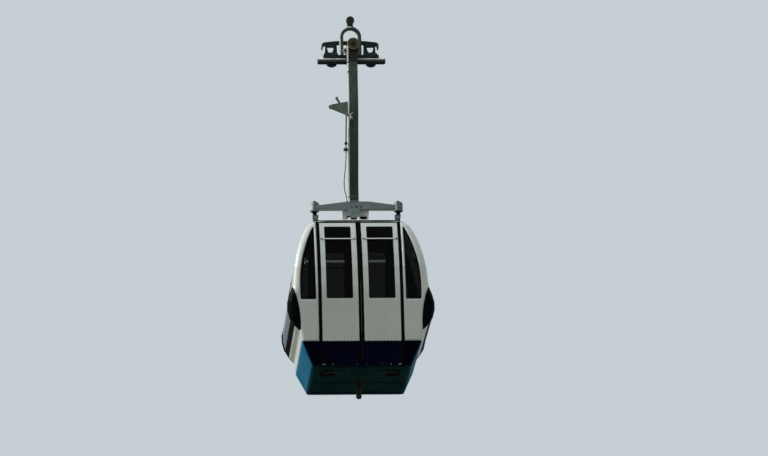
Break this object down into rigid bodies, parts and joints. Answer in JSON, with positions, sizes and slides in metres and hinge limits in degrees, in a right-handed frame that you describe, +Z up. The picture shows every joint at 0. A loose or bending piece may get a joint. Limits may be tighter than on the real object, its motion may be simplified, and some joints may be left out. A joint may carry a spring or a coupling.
{
  "type": "gondola cable car cabin with hanger and rope grip",
  "caption": "Rounded gondola cabin with swing-out double doors and bulged glass ends, hung by crossbeam and hanger from a detachable rope grip.",
  "frame": {"origin": "on the haul rope's axis, at the middle of the grip's jaws", "axes": "+X along the rope, -Y the door side, +Z up"},
  "size_m": [2.0816, 1.914, 5.773],
  "materials": {
    "white_shell": "gloss",
    "teal_shell": "gloss",
    "navy_shell": "gloss",
    "dark_glass": "tinted",
    "black_rubber": "matt",
    "black_plastic": "satin",
    "dark_steel": "satin",
    "grey_steel": "satin",
    "pale_steel": "satin",
    "bright_steel": "brushed",
    "wheel_tyre": "satin",
    "white_bar": "satin",
    "seat_shell": "matt"
  },
  "bodies": {
    "grip": {"grip_body": "dark_steel", "fixed_jaw": "pale_steel", "pivot_pin": "bright_steel", "traction_plate": "dark_steel", "plate_brackets": "dark_steel"},
    "opening_lever": {"jaw_lever": "dark_steel", "moving_jaws": "dark_steel"},
    "lever_roller": {"lever_roller": "dark_steel"},
    "near_wheel": {"near_wheel_tyre": "wheel_tyre", "near_wheel_hub": "dark_steel"},
    "far_wheel": {"far_wheel_tyre": "wheel_tyre", "far_wheel_hub": "dark_steel"},
    "left_arms": {"left_door_arms": "dark_steel"},
    "right_arms": {"right_door_arms": "dark_steel"},
    "left_door": {"left_door_frame": "white_shell", "left_door_glass": "dark_glass", "left_door_seals": "black_rubber", "left_window_bar": "white_bar"},
    "right_door": {"right_door_frame": "white_shell", "right_door_glass": "dark_glass", "right_door_seals": "black_rubber", "right_window_bar": "white_bar"},
    "cabin": {"hanger_head": "dark_steel", "hanger_tube": "dark_steel", "crossbeam": "grey_steel", "damper_cups": "pale_steel", "damper_rubbers": "black_rubber", "damper_brackets": "dark_steel", "roof_shell": "white_shell", "roof_box": "pale_steel", "roof_gasket": "black_rubber", "left_arch_frame": "white_shell", "right_arch_frame": "white_shell", "left_end_pane": "dark_glass", "right_end_pane": "dark_glass", "end_cheeks": "black_plastic", "end_seals": "black_rubber", "far_side_panel": "white_shell", "side_glass": "dark_glass", "left_lower_end": "teal_shell", "right_lower_end": "teal_shell", "side_skirts": "navy_shell", "floor_pan": "teal_shell", "guide_pin": "pale_steel", "left_bench": "seat_shell", "right_bench": "seat_shell", "door_lever": "dark_steel", "control_rods": "bright_steel", "control_cable": "black_rubber"}
  },
  "joints": [
    {"name": "hanger_swing", "type": "hinge", "parent": "grip", "child": "cabin", "pos_m": [0, -0.4, 0.101], "axis": [0, 1, 0], "range_deg": [-35, 35]},
    {"name": "near_wheel_spin", "type": "hinge", "parent": "grip", "child": "near_wheel", "pos_m": [0, -0.522, 0.101], "axis": [0, 1, 0], "continuous": true},
    {"name": "far_wheel_spin", "type": "hinge", "parent": "grip", "child": "far_wheel", "pos_m": [0, 0.172, 0.101], "axis": [0, 1, 0], "continuous": true},
    {"name": "jaw_opening", "type": "hinge", "parent": "grip", "child": "opening_lever", "pos_m": [0, 0.095, 0.045], "axis": [1, 0, 0], "range_deg": [0, 20], "stiffness_Nm_per_rad": 200, "springref_deg": -20.05},
    {"name": "lever_roller_spin", "type": "hinge", "parent": "opening_lever", "child": "lever_roller", "pos_m": [0, 0.079, 0.662], "axis": [0, 1, 0], "continuous": true},
    {"name": "left_door_swing", "type": "hinge", "parent": "cabin", "child": "left_arms", "pos_m": [-0.505, -0.604, -3.78], "axis": [0, 0, 1], "range_deg": [-150, 0]},
    {"name": "left_leaf_turn", "type": "hinge", "parent": "left_arms", "child": "left_door", "pos_m": [-0.225, -0.604, -3.78], "axis": [0, 0, 1], "range_deg": [0, 150]},
    {"name": "right_door_swing", "type": "hinge", "parent": "cabin", "child": "right_arms", "pos_m": [0.505, -0.604, -3.78], "axis": [0, 0, 1], "range_deg": [0, 150]},
    {"name": "right_leaf_turn", "type": "hinge", "parent": "right_arms", "child": "right_door", "pos_m": [0.225, -0.604, -3.78], "axis": [0, 0, 1], "range_deg": [-150, 0]}
  ],
  "couplings": [
    {"joint": "left_leaf_turn", "follows": "left_door_swing", "ratio": -1},
    {"joint": "right_leaf_turn", "follows": "right_door_swing", "ratio": -1}
  ]
}
